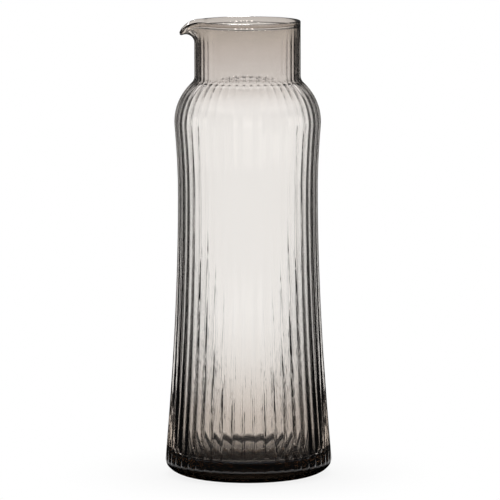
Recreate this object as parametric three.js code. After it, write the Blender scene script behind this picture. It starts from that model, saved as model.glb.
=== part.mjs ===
// Ribbed smoke-grey glass carafe with a pulled pouring lip, in millimetres, +Z up.
// The origin is the middle of the foot, on the surface that the carafe stands on.
// The vessel is one blown piece. Its zones meet on level planes, face to face.
import * as THREE from "three";

// Driving dimensions of the outer surface, measured over the crests of the ribs
const BASE_RADIUS = 49.4;
const FOOT_RADIUS = 34.8;
const HEEL_HEIGHT = 8.7;
const HEEL_LEAN = 4.9;
const WAIST_RADIUS = 41.4;
const WAIST_HEIGHT = 169.9;
const SHOULDER_RADIUS = 43.3;
const SHOULDER_HEIGHT = 210.1;
const SHOULDER_ROUND = 31.2;
const SHOULDER_LEAN = 4.7;
const NECK_RADIUS = 31.4;
const NECK_LENGTH = 32.6;
const NECK_FILLET = 6;

// Driving dimensions of the glass: walls, floor and foot
const BODY_WALL = 1.3;
const NECK_WALL = 2.2;
const HEEL_WALL = 3;
const HEEL_WALL_TAPER = 100;
const SHOULDER_WALL_POWER = 4;
const FLOOR_THICKNESS = 12.2;
const FLOOR_CROWN = 2;
const FLOOR_ROUND = 3.5;
const FOOT_RING_WIDTH = 6;
const PUNT_DEPTH = 3;
const RIM_OUTER_EASE_WIDTH = 0.7;
const RIM_OUTER_EASE_HEIGHT = 1;
const RIM_BEAD_WIDTH = 0.8;
const RIM_BEAD_HEIGHT = 3.4;

// Ribs: a count round the vessel, and the depth of the valleys between them at five places.
// On the neck they turn into flutes, whose ridges stand over the valleys.
const RIB_COUNT = 48;
const HEEL_RIB_DEPTH = 1.2;
const BODY_RIB_DEPTH = 0.85;
const BODY_RIB_PLACE = 0.4;
const WAIST_RIB_DEPTH = 0.42;
const SHOULDER_RIB_DEPTH = 0.36;
const JUNCTION_RIB_DEPTH = 0.4;
const NECK_FLUTE_DEPTH = 0.24;

// Pouring lip, pulled out of the rim towards -X
const LIP_DIRECTION = 180;
const LIP_HALF_ANGLE = 36.6;
const LIP_SHARPNESS = 2.35;
const LIP_BEND = 105;
const LIP_LENGTH = 13;
const LIP_CURVE_LENGTH = 10.8;
const LIP_THINNING = 0.2;

// Heights of the level planes above the features that they follow
const BASE_SEAM_RISE = 0.5;
const HEEL_SEAM_RISE = 10;
const LIP_SEAM_DROP = 3.5;

// Facets
const FACETS_PER_RIB = 2;
const ARC_STEPS = 4;
const SIDE_STEPS = 4;
const RIM_STEPS = 2;
const FLOOR_STEPS = 3;

const radians = THREE.MathUtils.degToRad;

// Outer surface
const heelLean = radians(HEEL_LEAN);
const heelWidth = BASE_RADIUS - FOOT_RADIUS;
const heelEnd = Math.atan((Math.tan(heelLean) * HEEL_HEIGHT) / heelWidth);
const heelTop = new THREE.Vector2(
  FOOT_RADIUS + heelWidth * Math.cos(heelEnd),
  HEEL_HEIGHT + HEEL_HEIGHT * Math.sin(heelEnd),
);
const waist = new THREE.Vector2(WAIST_RADIUS, WAIST_HEIGHT);
const shoulderLean = radians(SHOULDER_LEAN);
const shoulderCentre = new THREE.Vector2(SHOULDER_RADIUS - SHOULDER_ROUND, SHOULDER_HEIGHT);
const shoulderStart = new THREE.Vector2(
  shoulderCentre.x + SHOULDER_ROUND * Math.cos(shoulderLean),
  shoulderCentre.y - SHOULDER_ROUND * Math.sin(shoulderLean),
);
const filletReach = NECK_RADIUS + NECK_FILLET - shoulderCentre.x;
const filletSpan = SHOULDER_ROUND + NECK_FILLET;
const filletAngle = Math.acos(filletReach / filletSpan);
const filletCentre = new THREE.Vector2(
  NECK_RADIUS + NECK_FILLET,
  shoulderCentre.y + filletSpan * Math.sin(filletAngle),
);
const junctionHeight = shoulderCentre.y + SHOULDER_ROUND * Math.sin(filletAngle);
const rimHeight = filletCentre.y + NECK_LENGTH;

// A side curve between two heights, with a given slope of the radius at each end
function sideCurve(low, lowSlope, high, highSlope) {
  const third = (high.y - low.y) / 3;
  return new THREE.CubicBezierCurve(
    low,
    new THREE.Vector2(low.x + lowSlope * third, low.y + third),
    new THREE.Vector2(high.x - highSlope * third, high.y - third),
    high,
  );
}

const lowerSide = sideCurve(heelTop, -Math.tan(heelLean), waist, 0);
const upperSide = sideCurve(waist, 0, shoulderStart, Math.tan(shoulderLean));

function outerRadius(height) {
  if (height <= waist.y) {
    return lowerSide.getPoint((height - heelTop.y) / (waist.y - heelTop.y)).x;
  }
  if (height <= shoulderStart.y) {
    return upperSide.getPoint((height - waist.y) / (shoulderStart.y - waist.y)).x;
  }
  return shoulderCentre.x + Math.sqrt(SHOULDER_ROUND ** 2 - (height - shoulderCentre.y) ** 2);
}

// Inner surface
function wallThickness(height) {
  const taper = THREE.MathUtils.clamp((height - FLOOR_THICKNESS) / HEEL_WALL_TAPER, 0, 1);
  return BODY_WALL + (HEEL_WALL - BODY_WALL) * (1 - taper) ** 2;
}

function shoulderWall(height) {
  const share = (height - SHOULDER_HEIGHT) / (filletCentre.y - SHOULDER_HEIGHT);
  return THREE.MathUtils.lerp(BODY_WALL, NECK_WALL, share ** SHOULDER_WALL_POWER);
}

const floorRoundTop = FLOOR_THICKNESS + FLOOR_ROUND;
const floorRoundCentre = outerRadius(floorRoundTop) - wallThickness(floorRoundTop) - FLOOR_ROUND;

function innerRadius(height) {
  if (height < floorRoundTop) {
    return floorRoundCentre + Math.sqrt(FLOOR_ROUND ** 2 - (floorRoundTop - height) ** 2);
  }
  return outerRadius(height) - wallThickness(height);
}

// Level planes where the zones meet
const baseSeam = Math.max(FLOOR_THICKNESS + FLOOR_CROWN, heelTop.y) + BASE_SEAM_RISE;
const heelSeam = floorRoundTop + HEEL_SEAM_RISE;
const neckSeam = filletCentre.y;
const lipRoot = rimHeight - LIP_LENGTH;
const lipSeam = lipRoot - LIP_SEAM_DROP;

// Depth of the rib valleys at a height, fading out at the foot and the rim. Below 0 it is that of the flutes.
function ribDepth(height) {
  const places = [
    [0, 0],
    [heelTop.y, HEEL_RIB_DEPTH],
    [THREE.MathUtils.lerp(heelTop.y, WAIST_HEIGHT, BODY_RIB_PLACE), BODY_RIB_DEPTH],
    [WAIST_HEIGHT, WAIST_RIB_DEPTH],
    [SHOULDER_HEIGHT, SHOULDER_RIB_DEPTH],
    [junctionHeight, JUNCTION_RIB_DEPTH],
    [neckSeam, -NECK_FLUTE_DEPTH],
    [lipRoot, -NECK_FLUTE_DEPTH],
    [rimHeight - RIM_OUTER_EASE_HEIGHT, 0],
    [rimHeight, 0],
  ];
  const above = places.findIndex((place) => place[0] >= height);
  if (above <= 0) {
    return 0;
  }
  const [lowHeight, lowDepth] = places[above - 1];
  const [highHeight, highDepth] = places[above];
  return THREE.MathUtils.mapLinear(height, lowHeight, highHeight, lowDepth, highDepth);
}

// The rim and the wall below it, bent outwards as one strip where the lip is pulled
function pullLip(point, turn) {
  const rise = point.y - lipRoot;
  const weight = turn < radians(LIP_HALF_ANGLE)
    ? Math.cos((0.5 * Math.PI * turn) / radians(LIP_HALF_ANGLE)) ** LIP_SHARPNESS
    : 0;
  const bend = weight * radians(LIP_BEND);
  if (rise <= 0 || bend < 1e-6) {
    return point;
  }
  const middle = NECK_RADIUS - NECK_WALL / 2;
  const curved = Math.min(rise, LIP_CURVE_LENGTH);
  const straight = rise - curved;
  const bendRadius = LIP_CURVE_LENGTH / bend;
  const angle = curved / bendRadius;
  const offset = (point.x - middle) * (1 - (LIP_THINNING * weight * rise) / LIP_LENGTH);
  const across = bendRadius * (1 - Math.cos(angle)) + straight * Math.sin(angle);
  const along = bendRadius * Math.sin(angle) + straight * Math.cos(angle);
  return new THREE.Vector2(
    middle + across + offset * Math.cos(angle),
    lipRoot + along - offset * Math.sin(angle),
  );
}

// Points of a profile, as pairs of radius and height
function heights(low, high, steps) {
  return Array.from({ length: steps + 1 }, (_, step) => low + ((high - low) * step) / steps);
}

function profileAt(surface, list) {
  return list.map((height) => new THREE.Vector2(surface(height), height));
}

function arc(centre, radiusAcross, radiusUp, from, to, steps = ARC_STEPS) {
  const curve = new THREE.EllipseCurve(centre.x, centre.y, radiusAcross, radiusUp, from, to, to < from);
  return curve.getPoints(steps);
}

// A zone is turned round the axis. The rows of its outer surface carry the ribs.
function turnZone(outer, inner, closed) {
  const profile = closed ? [...outer, ...inner, outer[0]] : [...outer, ...inner];
  const geometry = new THREE.LatheGeometry(profile, RIB_COUNT * FACETS_PER_RIB);
  const position = geometry.getAttribute("position");
  for (let index = 0; index < position.count; index += 1) {
    const row = index % profile.length;
    const column = Math.floor(index / profile.length);
    const around = (2 * Math.PI * column) / (RIB_COUNT * FACETS_PER_RIB);
    const ribbed = row < outer.length || (closed && row === profile.length - 1);
    const point = profile[row].clone();
    if (ribbed) {
      const depth = ribDepth(point.y);
      const crest = Math.abs(Math.cos((RIB_COUNT * around) / 2));
      point.x -= depth > 0 ? depth * (1 - crest) : -depth * crest;
    }
    const x = Math.sin(around);
    const y = -Math.cos(around);
    const lip = radians(LIP_DIRECTION);
    const turn = Math.acos(THREE.MathUtils.clamp(x * Math.cos(lip) + y * Math.sin(lip), -1, 1));
    const placed = pullLip(point, turn);
    position.setXYZ(index, placed.x * x, placed.x * y, placed.y);
  }
  geometry.computeVertexNormals();
  return geometry;
}

function base() {
  const ringInner = FOOT_RADIUS - FOOT_RING_WIDTH;
  const puntRadius = (ringInner ** 2 + PUNT_DEPTH ** 2) / (2 * PUNT_DEPTH);
  const puntCentre = new THREE.Vector2(0, PUNT_DEPTH - puntRadius);
  const puntEdge = Math.acos(ringInner / puntRadius);
  const heelCentre = new THREE.Vector2(FOOT_RADIUS, HEEL_HEIGHT);
  const seamDrop = Math.max(floorRoundTop - baseSeam, 0);
  const floorRound = new THREE.Vector2(floorRoundCentre, floorRoundTop);
  const outer = [
    ...arc(puntCentre, puntRadius, puntRadius, Math.PI / 2, puntEdge),
    ...arc(heelCentre, heelWidth, HEEL_HEIGHT, -Math.PI / 2, heelEnd),
    new THREE.Vector2(outerRadius(baseSeam), baseSeam),
  ];
  const inner = [
    new THREE.Vector2(innerRadius(baseSeam), baseSeam),
    ...arc(floorRound, FLOOR_ROUND, FLOOR_ROUND, -Math.asin(seamDrop / FLOOR_ROUND), -Math.PI / 2).slice(1),
    ...heights(1, 0, FLOOR_STEPS).slice(1).map((share) => new THREE.Vector2(
      floorRoundCentre * share,
      FLOOR_THICKNESS + FLOOR_CROWN * (1 - share * share),
    )),
  ];
  return turnZone(outer, inner, false);
}

function heel() {
  const outer = profileAt(outerRadius, [baseSeam, heelSeam]);
  const inner = profileAt(innerRadius, [...heights(baseSeam, floorRoundTop, RIM_STEPS), heelSeam]);
  return turnZone(outer, inner.reverse(), true);
}

function lowerBody() {
  const list = heights(heelSeam, WAIST_HEIGHT, SIDE_STEPS);
  return turnZone(profileAt(outerRadius, list), profileAt(innerRadius, list).reverse(), true);
}

function upperBody() {
  const list = heights(WAIST_HEIGHT, SHOULDER_HEIGHT, SIDE_STEPS);
  return turnZone(profileAt(outerRadius, list), profileAt(innerRadius, list).reverse(), true);
}

function shoulder() {
  const outer = [
    ...arc(shoulderCentre, SHOULDER_ROUND, SHOULDER_ROUND, 0, filletAngle),
    ...arc(filletCentre, NECK_FILLET, NECK_FILLET, Math.PI + filletAngle, Math.PI).slice(1),
  ];
  const inner = outer.map((point, row) => {
    const onFillet = row > ARC_STEPS;
    const centre = onFillet ? filletCentre : shoulderCentre;
    const outwards = point.clone().sub(centre).normalize().multiplyScalar(onFillet ? -1 : 1);
    return point.clone().addScaledVector(outwards, -shoulderWall(point.y));
  });
  return turnZone(outer, inner.reverse(), true);
}

function neck() {
  const list = [neckSeam, lipSeam];
  const outer = profileAt(() => NECK_RADIUS, list);
  const inner = profileAt(() => NECK_RADIUS - NECK_WALL, list);
  return turnZone(outer, inner.reverse(), true);
}

function pouringLip() {
  const bore = NECK_RADIUS - NECK_WALL;
  const outerTop = rimHeight - RIM_OUTER_EASE_HEIGHT;
  const innerTop = rimHeight - RIM_BEAD_HEIGHT;
  const outerEase = new THREE.Vector2(NECK_RADIUS - RIM_OUTER_EASE_WIDTH, outerTop);
  const bead = new THREE.Vector2(bore, rimHeight - RIM_BEAD_HEIGHT / 2);
  const outerList = [lipSeam, ...heights(lipRoot, outerTop, SIDE_STEPS)];
  const innerList = [lipSeam, ...heights(lipRoot, innerTop, SIDE_STEPS)];
  const outer = [
    ...profileAt(() => NECK_RADIUS, outerList),
    ...arc(outerEase, RIM_OUTER_EASE_WIDTH, RIM_OUTER_EASE_HEIGHT, 0, Math.PI / 2, RIM_STEPS).slice(1),
  ];
  const inner = [
    ...arc(bead, RIM_BEAD_WIDTH, RIM_BEAD_HEIGHT / 2, Math.PI / 2, 1.5 * Math.PI, 2 * RIM_STEPS),
    ...profileAt(() => bore, innerList.slice(0, -1)).reverse(),
  ];
  return turnZone(outer, inner, true);
}

function smokedGlass(colour, opacity) {
  return new THREE.MeshStandardMaterial({
    color: colour,
    roughness: 0.04,
    metalness: 0,
    transparent: true,
    opacity,
  });
}

const carafe = new THREE.Group();

function addZone(name, geometry, material) {
  const mesh = new THREE.Mesh(geometry, material);
  mesh.name = name;
  carafe.add(mesh);
}

addZone("base", base(), smokedGlass(0x2b2723, 0.9));
addZone("heel", heel(), smokedGlass(0x6a6058, 0.6));
addZone("lower_body", lowerBody(), smokedGlass(0xddd7d0, 0.3));
addZone("upper_body", upperBody(), smokedGlass(0xe8e4e0, 0.25));
addZone("shoulder", shoulder(), smokedGlass(0xdcd8d4, 0.35));
addZone("neck", neck(), smokedGlass(0xb9b0a8, 0.5));
addZone("pouring_lip", pouringLip(), smokedGlass(0xaaa096, 0.55));

export default carafe;
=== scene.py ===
"""Looks of a ribbed smoke-grey glass carafe: one blown vessel with a pulled lip, on its CAD frame."""

import math

import bpy
import numpy as np
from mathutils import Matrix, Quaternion, Vector


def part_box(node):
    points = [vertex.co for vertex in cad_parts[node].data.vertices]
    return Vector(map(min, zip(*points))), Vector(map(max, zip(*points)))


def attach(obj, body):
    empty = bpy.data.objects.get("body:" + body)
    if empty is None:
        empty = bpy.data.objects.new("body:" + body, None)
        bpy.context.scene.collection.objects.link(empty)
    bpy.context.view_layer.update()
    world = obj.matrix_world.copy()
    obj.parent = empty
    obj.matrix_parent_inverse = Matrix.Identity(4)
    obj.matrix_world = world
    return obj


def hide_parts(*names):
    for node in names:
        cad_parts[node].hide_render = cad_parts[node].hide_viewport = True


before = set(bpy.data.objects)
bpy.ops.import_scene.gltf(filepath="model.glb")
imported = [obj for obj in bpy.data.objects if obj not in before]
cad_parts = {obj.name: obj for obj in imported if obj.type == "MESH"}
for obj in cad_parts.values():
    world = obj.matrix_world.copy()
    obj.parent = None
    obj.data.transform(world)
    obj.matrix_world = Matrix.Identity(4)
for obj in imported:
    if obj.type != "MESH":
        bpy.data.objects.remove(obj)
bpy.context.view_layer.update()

# Ribs round the glass; on the neck they turn into flutes, whose ridges lie half a rib beside them
RIB_COUNT = 48

# Sizes that the frame gives, in metres
WAIST_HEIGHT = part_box("lower_body")[1].z
SHOULDER_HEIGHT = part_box("upper_body")[1].z
SHOULDER_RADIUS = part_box("upper_body")[1].y
NECK_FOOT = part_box("neck")[0].z
NECK_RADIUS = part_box("neck")[1].y / math.cos(math.pi / RIB_COUNT)

# Outside of the glass
BASE_RADIUS = 0.0494
FOOT_RADIUS = 0.0348
HEEL_HEIGHT = 0.0087
HEEL_LEAN = math.radians(4.9)
WAIST_RADIUS = 0.0414
SHOULDER_ROUND = 0.0312
SHOULDER_LEAN = math.radians(4.7)
NECK_FILLET = 0.006
NECK_LENGTH = 0.0326
HEIGHT = NECK_FOOT + NECK_LENGTH

# Walls and floor
BODY_WALL = 0.0013
NECK_WALL = 0.0022
HEEL_WALL = 0.003
HEEL_WALL_TAPER = 0.100
SHOULDER_WALL_POWER = 4
FLOOR_THICKNESS = 0.0122
FLOOR_ROUND = 0.0035
FLOOR_CROWN = 0.002
FOOT_RING_WIDTH = 0.006
PUNT_DEPTH = 0.003
RIM_OUTER_EASE_WIDTH = 0.0007
RIM_OUTER_EASE_HEIGHT = 0.001
RIM_BEAD_WIDTH = 0.0008
RIM_BEAD_HEIGHT = 0.0034

# Depth of the ribs, on the body at a few heights, and of the flutes
RIB_SOFTNESS = 0.05
HEEL_RIB_DEPTH = 0.0012
BODY_RIB_DEPTHS = [(0.044, 0.0011), (0.075, 0.00085), (0.14, 0.00047)]
SHOULDER_RIB_DEPTH = 0.00036
JUNCTION_RIB_DEPTH = 0.0009
JUNCTION_LENGTH = 0.0009
JUNCTION_DROP = 0.0024
NECK_FLUTE_DEPTH = 0.00028
FLUTE_SOFTNESS = 0.2

# Pouring lip
LIP_HALF_ANGLE = math.radians(36.6)
LIP_SHARPNESS = 2.35
LIP_BEND = math.radians(105)
LIP_LENGTH = 0.013
LIP_CURVE_LENGTH = 0.0108
LIP_THINNING = 0.2
LIP_LEAST_PULL = 1e-6

# Fineness of the mesh: columns round it and steps along its section
COLUMNS_PER_RIB = 12
COLUMN_CROWDING = 0.75
PUNT_STEPS = 12
FOOT_RING_STEPS = 3
HEEL_STEPS = 22
LOWER_SIDE_STEPS = 60
UPPER_SIDE_STEPS = 16
SHOULDER_STEPS = 26
FILLET_STEPS = 14
NECK_STEPS = 8
LIP_STEPS = 18
RIM_EASE_STEPS = 8
RIM_TOP_STEPS = 3
RIM_BEAD_STEPS = 20
INNER_FILLET_STEPS = 12
INNER_SHOULDER_STEPS = 20
INNER_BODY_STEPS = 64
FLOOR_ROUND_STEPS = 18
FLOOR_STEPS = 15

# Smoke tint of the glass at heights, as shares of the whole height. Much of it is painted shade: nearly black
# at the foot, where the thick base sits in shade, and darker low on the body and towards the rim
SMOKE_AND_PAINTED_SHADE = [
    (0.0, (0.05, 0.075, 0.11)),
    (0.025, (0.05, 0.075, 0.11)),
    (0.046, (0.05, 0.045, 0.04)),
    (0.0495, (0.06, 0.055, 0.05)),
    (0.053, (0.79, 0.75, 0.71)),
    (0.08, (0.8, 0.76, 0.72)),
    (0.1, (0.81, 0.765, 0.725)),
    (0.16, (0.885, 0.85, 0.82)),
    (0.23, (0.955, 0.938, 0.92)),
    (0.34, (1.0, 0.99, 0.978)),
    (0.77, (1.0, 0.99, 0.978)),
    (0.82, (0.962, 0.948, 0.935)),
    (0.85, (0.885, 0.86, 0.84)),
    (0.89, (0.84, 0.81, 0.79)),
    (0.935, (0.795, 0.755, 0.725)),
    (0.98, (0.71, 0.67, 0.625)),
    (1.0, (0.57, 0.53, 0.5)),
]

# Body of the glass: how it bends light and takes it up
GLASS_IOR = 1.5
GLASS_COLOUR = (0.526, 0.342, 0.158, 1)
GLASS_DENSITY = 38.0

# Painted shade: the glass's colour darkens where it is seen almost along its surface, most on the outside of
# the neck; the depths are shares of the neck's wall
GRAZE_RANGE = (0.6, 0.69)
GRAZE_PAINTED_SHADE = 0.6
NECK_GRAZE_PAINTED_SHADE = 0.97
NECK_INSIDE_DEPTH = 0.7
NECK_OUTSIDE_DEPTH = 0.4

# Fine relief: broad waves everywhere, and drawn streaks that are strong low on the wall and weak on the neck
RELIEF_HEIGHT = 0.0004
NOISE_DETAIL = 2.0
WAVE_SCALE = 60.0
WAVE_RELIEF = 0.02
STREAK_SCALE = 700.0
STREAK_DRAW = (1, 1, 0.06)
STREAK_RELIEF = 0.02
LOW_STREAK_RELIEF = 0.09
NECK_STREAK_LOSS = 0.01
LOW_STREAK_HEIGHTS = (0.055, 0.125)
WALL_RADII = (0.034, 0.04)

# Camera, worked out from the curvature of the rim and the foot
CAMERA_PLACE = Vector((0, -2.963, 0.5094))
CAMERA_AIM = Vector((0, 0, 0.1351))
CAMERA_ROLL = -0.0027
CAMERA_LENS = 362.9
CAMERA_SENSOR = 36
CAMERA_REACH = 50
AIM_PIXEL = (248.0, 247.6)
PICTURE_SIDE = 500

# White windows: half widths and soft edges in degrees; ranges are of parts of a ray's direction
BACK_WINDOW_HALF = 23
BACK_WINDOW_SOFT = 2
BACK_WINDOW_SPREAD = 0.02
BACK_WINDOW_SPREAD_FALL = (0.12, 0.15)
BACK_WINDOW_TOP = (0.02, 0.14)
BACK_WINDOW_TOP_LOSS = 0.92
SIDE_WINDOW_HALF = 14
SIDE_WINDOW_SOFT = 3
SIDE_WINDOW_FOOT = (0.06, 0.08)
SIDE_WINDOW_TOP = (0.14, 0.23)
SIDE_WINDOW_TOP_LOSS = 0.9
VIEWER_SIDE = (0.5, 0.7)
VIEWER_SIDE_RAISE = 0.01
LEFT_WINDOW = (0.974, 0.986)
LEFT_WINDOW_FOOT = (0.1, 0.115)
CORNER_WINDOW_TOP = (0.3, 0.34)
FRONT_RIGHT = (0.8, 1.0)
FRONT_RIGHT_RAISE = 0.11
CEILING = (0.35, 0.5)
WINDOWS_ROUND = 4
ROOM_LEVEL = 0.05

# Pale floor
FLOOR_RADIUS = 0.12
FLOOR_CORNERS = 96
FLOOR_GAP = 0.0002
FLOOR_COLOUR = (0.8, 0.8, 0.8, 1)
FLOOR_GLOW_AT_FOOT = 0.85
FLOOR_SEEN_RING = 0.012
# Painted shadow round the foot that only gloss sees: black out to the first distance from the base, white
# past the second
FLOOR_PAINTED_SHADOW_RING = (0.008, 0.02)

# Lamps
STRIP_LAMP_SIZE = (0.4, 0.12)
STRIP_LAMP_ENERGY = 3
STRIP_LAMP_PLACE = (-0.05, 0.25, 1.4)
RIM_LAMP_SIZE = (0.026, 0.06)
RIM_LAMP_ENERGY = 0.05
RIM_LAMP_PLACE = (-0.01, 3.0, 0.513)


def spaced(start, end, steps):
    """Even places from start to end, without the first one."""
    return np.linspace(start, end, steps + 1)[1:]


def at_angle(centre, reach, angle):
    """The point at this distance and angle from a centre."""
    return (centre[0] + reach * math.cos(angle), centre[1] + reach * math.sin(angle))


def side_curve(low, low_slope, high, high_slope):
    """Radius as a function of height: a cubic between two (radius, height) points with these slopes."""
    rise = high[1] - low[1]
    near_low = low[0] + low_slope * rise / 3
    near_high = high[0] - high_slope * rise / 3

    def radius(height):
        t = (height - low[1]) / rise
        s = 1 - t
        return s**3 * low[0] + 3 * s * s * t * near_low + 3 * s * t * t * near_high + t**3 * high[0]

    return radius


# Points of the outline, as (radius, height)
heel_width = BASE_RADIUS - FOOT_RADIUS
heel_end = math.atan(math.tan(HEEL_LEAN) * HEEL_HEIGHT / heel_width)
heel_top = (FOOT_RADIUS + heel_width * math.cos(heel_end), HEEL_HEIGHT * (1 + math.sin(heel_end)))
waist = (WAIST_RADIUS, WAIST_HEIGHT)
shoulder_centre = (SHOULDER_RADIUS - SHOULDER_ROUND, SHOULDER_HEIGHT)
shoulder_start = at_angle(shoulder_centre, SHOULDER_ROUND, -SHOULDER_LEAN)
fillet_centre = (NECK_RADIUS + NECK_FILLET, NECK_FOOT)
fillet_angle = math.acos((fillet_centre[0] - shoulder_centre[0]) / (SHOULDER_ROUND + NECK_FILLET))
lower_side = side_curve(heel_top, -math.tan(HEEL_LEAN), waist, 0)
upper_side = side_curve(waist, 0, shoulder_start, math.tan(SHOULDER_LEAN))
rib_end = NECK_FOOT - JUNCTION_DROP
lip_root = HEIGHT - LIP_LENGTH


def outer_radius(height):
    """Radius over the ribs between the heel and the shoulder."""
    if height < WAIST_HEIGHT:
        return lower_side(height)
    if height < shoulder_start[1]:
        return upper_side(height)
    return shoulder_centre[0] + math.sqrt(SHOULDER_ROUND**2 - (height - shoulder_centre[1]) ** 2)


def body_wall(height):
    """Wall of the body, which thickens towards the floor."""
    share = np.clip((height - FLOOR_THICKNESS) / HEEL_WALL_TAPER, 0, 1)
    return BODY_WALL + (HEEL_WALL - BODY_WALL) * (1 - share) ** 2


def shoulder_wall(height):
    """Wall of the shoulder, which thickens towards the neck."""
    share = (height - SHOULDER_HEIGHT) / (NECK_FOOT - SHOULDER_HEIGHT)
    return BODY_WALL + (NECK_WALL - BODY_WALL) * share**SHOULDER_WALL_POWER


def rib_depth(height):
    """Depth of the grooves between the ribs; below 0 it is the depth of the flutes that they turn into."""
    places = [
        (0, 0),
        (heel_top[1], HEEL_RIB_DEPTH),
        *BODY_RIB_DEPTHS,
        (SHOULDER_HEIGHT, SHOULDER_RIB_DEPTH),
        (rib_end - 3 * JUNCTION_LENGTH, SHOULDER_RIB_DEPTH),
        (rib_end - JUNCTION_LENGTH, JUNCTION_RIB_DEPTH),
        (rib_end, -NECK_FLUTE_DEPTH),
        (lip_root, -NECK_FLUTE_DEPTH),
        (HEIGHT - RIM_OUTER_EASE_HEIGHT, 0),
        (HEIGHT, 0),
    ]
    return np.interp(height, *zip(*places))


def arc(centre, width, rise, start, end, steps):
    """Points on an ellipse, without the first one."""
    angles = spaced(start, end, steps)
    return [(centre[0] + width * math.cos(a), centre[1] + rise * math.sin(a)) for a in angles]


def foot_profile():
    """Punt and flat foot ring, from the axis outwards."""
    punt_radius = FOOT_RADIUS - FOOT_RING_WIDTH
    punt_round = (punt_radius**2 + PUNT_DEPTH**2) / (2 * PUNT_DEPTH)
    radii = np.linspace(0, punt_radius, PUNT_STEPS + 1)
    punt = [(r, math.sqrt(punt_round**2 - r * r) - punt_round + PUNT_DEPTH) for r in radii]
    ring = [(r, 0) for r in spaced(punt_radius, FOOT_RADIUS, FOOT_RING_STEPS)]
    return punt + ring


def outside_profile():
    """Heel, sides, shoulder and neck, from the foot up to the rim."""
    rim_root = HEIGHT - RIM_OUTER_EASE_HEIGHT
    heel = arc((FOOT_RADIUS, HEEL_HEIGHT), heel_width, HEEL_HEIGHT, -math.pi / 2, heel_end, HEEL_STEPS)
    lower = [(lower_side(h), h) for h in spaced(heel_top[1], WAIST_HEIGHT, LOWER_SIDE_STEPS)]
    upper = [(upper_side(h), h) for h in spaced(WAIST_HEIGHT, shoulder_start[1], UPPER_SIDE_STEPS)]
    shoulder = [
        at_angle(shoulder_centre, SHOULDER_ROUND, angle)
        for angle in spaced(-SHOULDER_LEAN, fillet_angle, SHOULDER_STEPS)
    ]
    fillet = [
        at_angle(fillet_centre, NECK_FILLET, angle)
        for angle in spaced(math.pi + fillet_angle, math.pi, FILLET_STEPS)
    ]
    neck = [(NECK_RADIUS, h) for h in spaced(NECK_FOOT, lip_root, NECK_STEPS)]
    lip = [(NECK_RADIUS, h) for h in spaced(lip_root, rim_root, LIP_STEPS)]
    return heel + lower + upper + shoulder + fillet + neck + lip


def rim_profile():
    """Fire-polished rim, from the outside over to the inside."""
    outer = (NECK_RADIUS - RIM_OUTER_EASE_WIDTH, HEIGHT - RIM_OUTER_EASE_HEIGHT)
    bead = (NECK_RADIUS - NECK_WALL, HEIGHT - RIM_BEAD_HEIGHT / 2)
    over = arc(outer, RIM_OUTER_EASE_WIDTH, RIM_OUTER_EASE_HEIGHT, 0, math.pi / 2, RIM_EASE_STEPS)
    top = [(r, HEIGHT) for r in spaced(outer[0], bead[0], RIM_TOP_STEPS)]
    down = arc(bead, RIM_BEAD_WIDTH, RIM_BEAD_HEIGHT / 2, math.pi / 2, 1.5 * math.pi, RIM_BEAD_STEPS)
    return over + top + down


def inside_profile():
    """Inside of the neck, shoulder and body, and the floor, from the rim down to the axis."""
    bore = NECK_RADIUS - NECK_WALL
    lip = [(bore, h) for h in spaced(HEIGHT - RIM_BEAD_HEIGHT, lip_root, LIP_STEPS)]
    neck = [(bore, h) for h in spaced(lip_root, NECK_FOOT, NECK_STEPS)]
    bend = []
    for angle in spaced(math.pi, math.pi + fillet_angle, INNER_FILLET_STEPS):
        outside_height = fillet_centre[1] + NECK_FILLET * math.sin(angle)
        bend.append(at_angle(fillet_centre, NECK_FILLET + shoulder_wall(outside_height), angle))
    for angle in spaced(fillet_angle, 0, INNER_SHOULDER_STEPS):
        outside_height = shoulder_centre[1] + SHOULDER_ROUND * math.sin(angle)
        bend.append(at_angle(shoulder_centre, SHOULDER_ROUND - shoulder_wall(outside_height), angle))
    floor_top = FLOOR_THICKNESS + FLOOR_ROUND
    levels = spaced(SHOULDER_HEIGHT, floor_top, INNER_BODY_STEPS)
    body = [(outer_radius(h) - body_wall(h), h) for h in levels]
    floor_edge = body[-1][0] - FLOOR_ROUND
    corner = arc((floor_edge, floor_top), FLOOR_ROUND, FLOOR_ROUND, 0, -math.pi / 2, FLOOR_ROUND_STEPS)
    floor = []
    for radius in spaced(floor_edge, 0, FLOOR_STEPS):
        floor.append((radius, FLOOR_THICKNESS + FLOOR_CROWN * (1 - (radius / floor_edge) ** 2)))
    return lip + neck + bend + body + corner + floor


def pulled(radius, height, turn):
    """Radius and height after the lip is bent out; turn is the angle from the middle of the lip."""
    pull = np.cos(0.5 * np.pi * np.clip(turn / LIP_HALF_ANGLE, 0, 1)) ** LIP_SHARPNESS
    pull = np.where(pull < LIP_LEAST_PULL, LIP_LEAST_PULL, pull)
    rise = np.clip(height - lip_root, 0, None)
    curved = np.minimum(rise, LIP_CURVE_LENGTH)
    straight = rise - curved
    bend_radius = LIP_CURVE_LENGTH / (pull * LIP_BEND)
    angle = curved / bend_radius
    middle = NECK_RADIUS - NECK_WALL / 2
    offset = (radius - middle) * (1 - LIP_THINNING * pull * rise / LIP_LENGTH)
    swung = bend_radius * (1 - np.cos(angle))
    bent_radius = middle + swung + straight * np.sin(angle) + offset * np.cos(angle)
    climbed = bend_radius * np.sin(angle)
    bent_height = lip_root + climbed + straight * np.cos(angle) - offset * np.sin(angle)
    above = height > lip_root
    return np.where(above, bent_radius, radius), np.where(above, bent_height, height)


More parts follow.
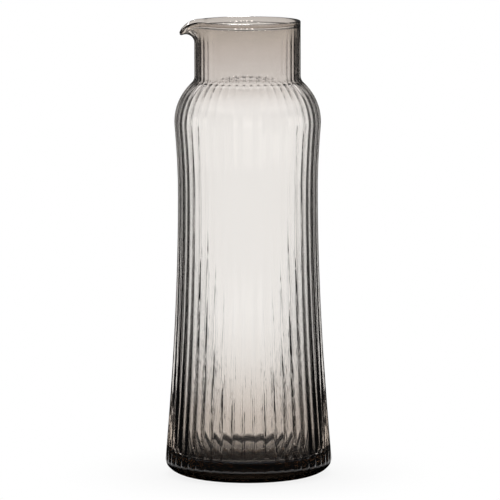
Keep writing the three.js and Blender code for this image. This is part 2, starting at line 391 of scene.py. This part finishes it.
def glass_vessel():
    """The whole carafe as one closed mesh: rings along its section, with a point on the axis at each end."""
    foot = foot_profile()
    outside = outside_profile()
    section = np.array(foot + outside + rim_profile() + inside_profile())
    ribbed = np.zeros(len(section))
    ribbed[len(foot) : len(foot) + len(outside)] = 1
    columns = RIB_COUNT * COLUMNS_PER_RIB
    share = np.arange(COLUMNS_PER_RIB) / COLUMNS_PER_RIB
    share = share + COLUMN_CROWDING * np.sin(2 * math.pi * share) / (2 * math.pi)
    around = np.add.outer(np.arange(RIB_COUNT), share).ravel() * 2 * math.pi / RIB_COUNT
    wave = np.cos(RIB_COUNT * around / 2) ** 2
    groove = 1 - np.sqrt(wave + RIB_SOFTNESS**2)
    flute = np.sqrt(wave + FLUTE_SOFTNESS**2) - FLUTE_SOFTNESS
    rows = section[1:-1]
    depth = (ribbed[1:-1] * rib_depth(rows[:, 1]))[:, None]
    radius = rows[:, :1] - np.where(depth > 0, depth * groove, -depth * flute)
    height = np.repeat(rows[:, 1:], columns, axis=1)
    turn = np.abs((around + math.pi / 2 + math.pi) % (2 * math.pi) - math.pi)
    radius, height = pulled(radius, height, turn[None, :])
    x = radius * np.sin(around)
    y = -radius * np.cos(around)
    points = np.stack([x, y, height], axis=-1).reshape(-1, 3)
    ends = [(0, 0, section[0, 1]), (0, 0, section[-1, 1])]
    vertices = np.vstack([points, ends])
    under, floor = len(points), len(points) + 1
    last = (len(rows) - 1) * columns
    faces = []
    for column in range(columns):
        beside = (column + 1) % columns
        faces.append((under, beside, column))
        faces.append((floor, last + column, last + beside))
        for row in range(len(rows) - 1):
            here = row * columns
            above = here + columns
            faces.append((here + column, here + beside, above + beside, above + column))
    mesh = bpy.data.meshes.new("glass_vessel")
    mesh.from_pydata(vertices.tolist(), [], faces)
    mesh.shade_smooth()
    vessel = bpy.data.objects.new("glass_vessel", mesh)
    bpy.context.scene.collection.objects.link(vessel)
    return vessel


class Value:
    """A shader socket whose arithmetic adds Math nodes."""

    def __init__(self, shader, socket):
        self.shader = shader
        self.socket = socket

    def math(self, operation, *values):
        sockets = dict(enumerate(values))
        return self.shader.add("ShaderNodeMath", {"operation": operation}, sockets).out()

    def __add__(self, other):
        return self.math("ADD", self, other)

    def __radd__(self, other):
        return self.math("ADD", other, self)

    def __sub__(self, other):
        return self.math("SUBTRACT", self, other)

    def __rsub__(self, other):
        return self.math("SUBTRACT", other, self)

    def __mul__(self, other):
        return self.math("MULTIPLY", self, other)

    def __rmul__(self, other):
        return self.math("MULTIPLY", other, self)

    def __truediv__(self, other):
        return self.math("DIVIDE", self, other)

    def __rtruediv__(self, other):
        return self.math("DIVIDE", other, self)

    def cosine(self):
        return self.math("COSINE", self)

    def or_more(self, other):
        """The larger of the two."""
        return self.math("MAXIMUM", self, other)


class Node:
    """One shader node and its outputs as values."""

    def __init__(self, shader, node):
        self.shader = shader
        self.node = node

    def out(self, name=0):
        return Value(self.shader, self.node.outputs[name])


class Shader:
    """The nodes of one material or of the world."""

    @staticmethod
    def stops(ramp, places):
        """Colours at places from 0 to 1; a new ramp has its first and last stop already."""
        while len(ramp.elements) < len(places):
            ramp.elements.new(0.5)
        for stop, (place, colour) in zip(ramp.elements, places):
            stop.position = place
            stop.color = (*colour, 1)

    def __init__(self, owner):
        owner.use_nodes = True
        self.tree = owner.node_tree
        self.tree.nodes.clear()

    def add(self, kind, settings, sockets):
        """A node of this kind, with its settings made first and its sockets set or linked after."""
        node = self.tree.nodes.new(kind)
        for name, value in settings.items():
            if name == "color_ramp":
                self.stops(node.color_ramp, value)
            else:
                setattr(node, name, value)
        for name, value in sockets.items():
            if isinstance(value, Value):
                self.tree.links.new(value.socket, node.inputs[name])
            else:
                node.inputs[name].default_value = value
        return Node(self, node)


def between(shader, value, low, high):
    """0 below low, 1 above high and smooth between them."""
    return shader.add(
        "ShaderNodeMapRange",
        {"interpolation_type": "SMOOTHSTEP"},
        {"Value": value, "From Min": low, "From Max": high, "To Min": 0.0, "To Max": 1.0},
    ).out()


def product(shader, one, other):
    """Two vectors or colours multiplied part by part."""
    return shader.add("ShaderNodeVectorMath", {"operation": "MULTIPLY"}, {0: one, 1: other}).out()


def length(shader, vector):
    """Length of a vector."""
    return shader.add("ShaderNodeVectorMath", {"operation": "LENGTH"}, {0: vector}).out("Value")


def noise(shader, place, scale):
    """Soft noise at a place."""
    sockets = {"Vector": place, "Scale": scale, "Detail": NOISE_DETAIL}
    return shader.add("ShaderNodeTexNoise", {}, sockets).out("Fac")


def smoke_grey_glass():
    """Clear warm-grey glass: its body absorbs light, and its colour carries painted shade, darker towards the
    rim and the foot and where its surface is seen at a graze.
    """
    material = bpy.data.materials.new("smoke_grey_glass")
    shader = Shader(material)
    place = shader.add("ShaderNodeTexCoord", {}, {}).out("Object")
    height = shader.add("ShaderNodeSeparateXYZ", {}, {"Vector": place}).out("Z")
    from_axis = length(shader, product(shader, place, (1, 1, 0)))
    on_neck = between(shader, height, NECK_FOOT - NECK_FILLET, NECK_FOOT)
    on_wall = between(shader, from_axis, *WALL_RADII)

    # Smoke tint by height, with painted shade that darkens the foot and the rim
    smoke_and_shade = shader.add("ShaderNodeValToRGB", {"color_ramp": SMOKE_AND_PAINTED_SHADE}, {"Fac": height / HEIGHT}).out("Color")
    # Painted shade at the edges: the colour darkens where the surface is seen at a graze
    facing = shader.add("ShaderNodeLayerWeight", {}, {"Blend": 0.5}).out("Facing")
    neck_inside = NECK_RADIUS - NECK_INSIDE_DEPTH * NECK_WALL
    neck_outside = NECK_RADIUS - NECK_OUTSIDE_DEPTH * NECK_WALL
    outside = between(shader, from_axis, neck_inside, neck_outside)
    edge_shade = on_neck * (outside * NECK_GRAZE_PAINTED_SHADE - GRAZE_PAINTED_SHADE) + GRAZE_PAINTED_SHADE
    left_over = 1 - between(shader, facing, *GRAZE_RANGE) * edge_shade
    shade = shader.add("ShaderNodeCombineXYZ", {}, {0: left_over, 1: left_over, 2: left_over}).out()

    waves = noise(shader, place, WAVE_SCALE)
    streaks = noise(shader, product(shader, place, STREAK_DRAW), STREAK_SCALE)
    streaky = on_wall * (1 - between(shader, height, *LOW_STREAK_HEIGHTS))
    streak_relief = streaky * LOW_STREAK_RELIEF - on_neck * NECK_STREAK_LOSS + STREAK_RELIEF
    relief = waves * WAVE_RELIEF + streaks * streak_relief
    bump = {"Height": relief, "Strength": 1.0, "Distance": RELIEF_HEIGHT}

    surface = shader.add(
        "ShaderNodeBsdfPrincipled",
        {},
        {
            "Base Color": product(shader, smoke_and_shade, shade),
            "Roughness": 0.0,
            "IOR": GLASS_IOR,
            "Transmission Weight": 1.0,
            "Normal": shader.add("ShaderNodeBump", {}, bump).out(),
        },
    ).out("BSDF")
    absorption = {"Color": GLASS_COLOUR, "Density": GLASS_DENSITY}
    body = shader.add("ShaderNodeVolumeAbsorption", {}, absorption).out()
    shader.add("ShaderNodeOutputMaterial", {}, {"Surface": surface, "Volume": body})
    return material


def window_edges(half, soft, count):
    """Cosines at the outer and the inner edge of windows that come count times round the room."""
    outer = math.cos(count * math.radians(half + soft))
    inner = math.cos(count * math.radians(half - soft))
    return outer, inner


def studio_world():
    """White windows with dark between them, which the glass bends into its edges; a dim room in gloss."""
    world = bpy.data.worlds.new("studio")
    bpy.context.scene.world = world
    shader = Shader(world)
    path = shader.add("ShaderNodeLightPath", {}, {})
    straight = path.out("Is Camera Ray")
    through = path.out("Is Transmission Ray")
    scattered = path.out("Is Diffuse Ray")
    way = shader.add("ShaderNodeTexCoord", {}, {}).out("Generated")
    parts = shader.add("ShaderNodeSeparateXYZ", {}, {"Vector": way})
    x, y, rise = parts.out("X"), parts.out("Y"), parts.out("Z")
    fall = 0 - rise
    bearing = x.math("ARCTAN2", x, y)

    spread = between(shader, fall, *BACK_WINDOW_SPREAD_FALL) * BACK_WINDOW_SPREAD
    back_edges = window_edges(BACK_WINDOW_HALF, BACK_WINDOW_SOFT, 1)
    back_top = 1 - between(shader, rise, *BACK_WINDOW_TOP) * BACK_WINDOW_TOP_LOSS
    back = between(shader, bearing.cosine() + spread, *back_edges) * back_top

    wave = (bearing * WINDOWS_ROUND).cosine()
    side_edges = window_edges(SIDE_WINDOW_HALF, SIDE_WINDOW_SOFT, WINDOWS_ROUND)
    raised = between(shader, 0 - y, *VIEWER_SIDE) * VIEWER_SIDE_RAISE
    side_foot = 1 - between(shader, raised - rise, *SIDE_WINDOW_FOOT)
    side_top = 1 - between(shader, rise, *SIDE_WINDOW_TOP) * SIDE_WINDOW_TOP_LOSS
    sideways = between(shader, wave, *side_edges) * side_foot * side_top

    left = between(shader, 0 - x, *LEFT_WINDOW) * (1 - between(shader, fall, *LEFT_WINDOW_FOOT))
    corner_raised = between(shader, x - y, *FRONT_RIGHT) * FRONT_RIGHT_RAISE
    corner_top = between(shader, corner_raised - rise, *CORNER_WINDOW_TOP)
    cornerwise = between(shader, 0 - wave, *side_edges) * corner_top
    overhead = between(shader, rise, *CEILING)

    window = back.or_more(sideways).or_more(left).or_more(cornerwise).or_more(overhead)
    room = scattered * (1 - ROOM_LEVEL) + ROOM_LEVEL
    bent = through * window + (1 - through) * room
    background = {"Color": (1, 1, 1, 1), "Strength": straight.or_more(bent)}
    light = shader.add("ShaderNodeBackground", {}, background).out()
    shader.add("ShaderNodeOutputWorld", {}, {"Surface": light})


def pale_floor_material():
    """Matt grey that the camera and gloss see as white, save a painted shadow that gloss sees near the foot;
    light from the glass passes it, save at the foot.
    """
    material = bpy.data.materials.new("pale_floor")
    shader = Shader(material)
    path = shader.add("ShaderNodeLightPath", {}, {})
    straight = path.out("Is Camera Ray")
    through = path.out("Is Transmission Ray")
    mirrored = path.out("Is Glossy Ray") * (1 - through)
    from_axis = length(shader, shader.add("ShaderNodeTexCoord", {}, {}).out("Object"))
    away = between(shader, from_axis, BASE_RADIUS, FLOOR_RADIUS)
    clear = away * (1 - FLOOR_GLOW_AT_FOOT) + FLOOR_GLOW_AT_FOOT
    beside = between(shader, from_axis, BASE_RADIUS, BASE_RADIUS + FLOOR_SEEN_RING)
    # Painted shadow: gloss sees the floor black near the foot and white further out
    past_painted_shadow = between(shader, from_axis, *(BASE_RADIUS + width for width in FLOOR_PAINTED_SHADOW_RING))
    matt = shader.add("ShaderNodeBsdfDiffuse", {}, {"Color": FLOOR_COLOUR}).out()
    emission = {"Color": 1 - mirrored * (1 - past_painted_shadow), "Strength": 1.0}
    glow = shader.add("ShaderNodeEmission", {}, emission).out()
    lit = shader.add("ShaderNodeMixShader", {}, {0: straight * clear + mirrored, 1: matt, 2: glow}).out()
    gone = shader.add("ShaderNodeBsdfTransparent", {}, {}).out()
    mixed = shader.add("ShaderNodeMixShader", {}, {0: through * beside, 1: lit, 2: gone}).out()
    shader.add("ShaderNodeOutputMaterial", {}, {"Surface": mixed})
    return material


def studio_floor():
    """A round floor with the carafe's soft shadow on it."""
    angles = np.linspace(0, 2 * math.pi, FLOOR_CORNERS + 1)[:-1]
    ring = [(FLOOR_RADIUS * math.cos(a), FLOOR_RADIUS * math.sin(a), 0) for a in angles]
    mesh = bpy.data.meshes.new("pale_floor")
    mesh.from_pydata(ring, [], [tuple(range(FLOOR_CORNERS))])
    mesh.materials.append(pale_floor_material())
    floor = bpy.data.objects.new("pale_floor", mesh)
    floor.location.z = -FLOOR_GAP
    bpy.context.scene.collection.objects.link(floor)


def area_lamp(name, size, energy, place, tilt):
    """An oblong lamp that shines straight down, or tilted from there about the X axis."""
    lamp = bpy.data.lights.new(name, "AREA")
    lamp.shape = "RECTANGLE"
    lamp.size, lamp.size_y = size
    lamp.energy = energy
    holder = bpy.data.objects.new(name, lamp)
    holder.location = place
    holder.rotation_euler = (tilt, 0, 0)
    bpy.context.scene.collection.objects.link(holder)


def camera():
    """The photograph's long-lens view from slightly above."""
    lens = bpy.data.cameras.new("camera")
    lens.lens = CAMERA_LENS
    lens.sensor_width = CAMERA_SENSOR
    lens.shift_x = (PICTURE_SIDE / 2 - AIM_PIXEL[0]) / PICTURE_SIDE
    lens.shift_y = (AIM_PIXEL[1] - PICTURE_SIDE / 2) / PICTURE_SIDE
    lens.clip_end = CAMERA_REACH
    holder = bpy.data.objects.new("camera", lens)
    holder.location = CAMERA_PLACE
    aim = (CAMERA_AIM - CAMERA_PLACE).to_track_quat("-Z", "Y")
    holder.rotation_euler = (aim @ Quaternion((0, 0, 1), CAMERA_ROLL)).to_euler()
    bpy.context.scene.collection.objects.link(holder)
    bpy.context.scene.camera = holder


bpy.context.scene.view_settings.view_transform = "Standard"
camera()
studio_world()
studio_floor()

# A long soft lamp overhead, a little behind the carafe, draws fine glints on the rim
area_lamp("strip_lamp", STRIP_LAMP_SIZE, STRIP_LAMP_ENERGY, STRIP_LAMP_PLACE, 0)

# A small lamp far behind and out of the picture is mirrored by the level top of the rim
area_lamp("rim_lamp", RIM_LAMP_SIZE, RIM_LAMP_ENERGY, RIM_LAMP_PLACE, -math.pi / 2)

vessel = glass_vessel()
vessel.data.materials.append(smoke_grey_glass())
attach(vessel, "root")
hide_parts("base", "heel", "lower_body", "upper_body", "shoulder", "neck", "pouring_lip")
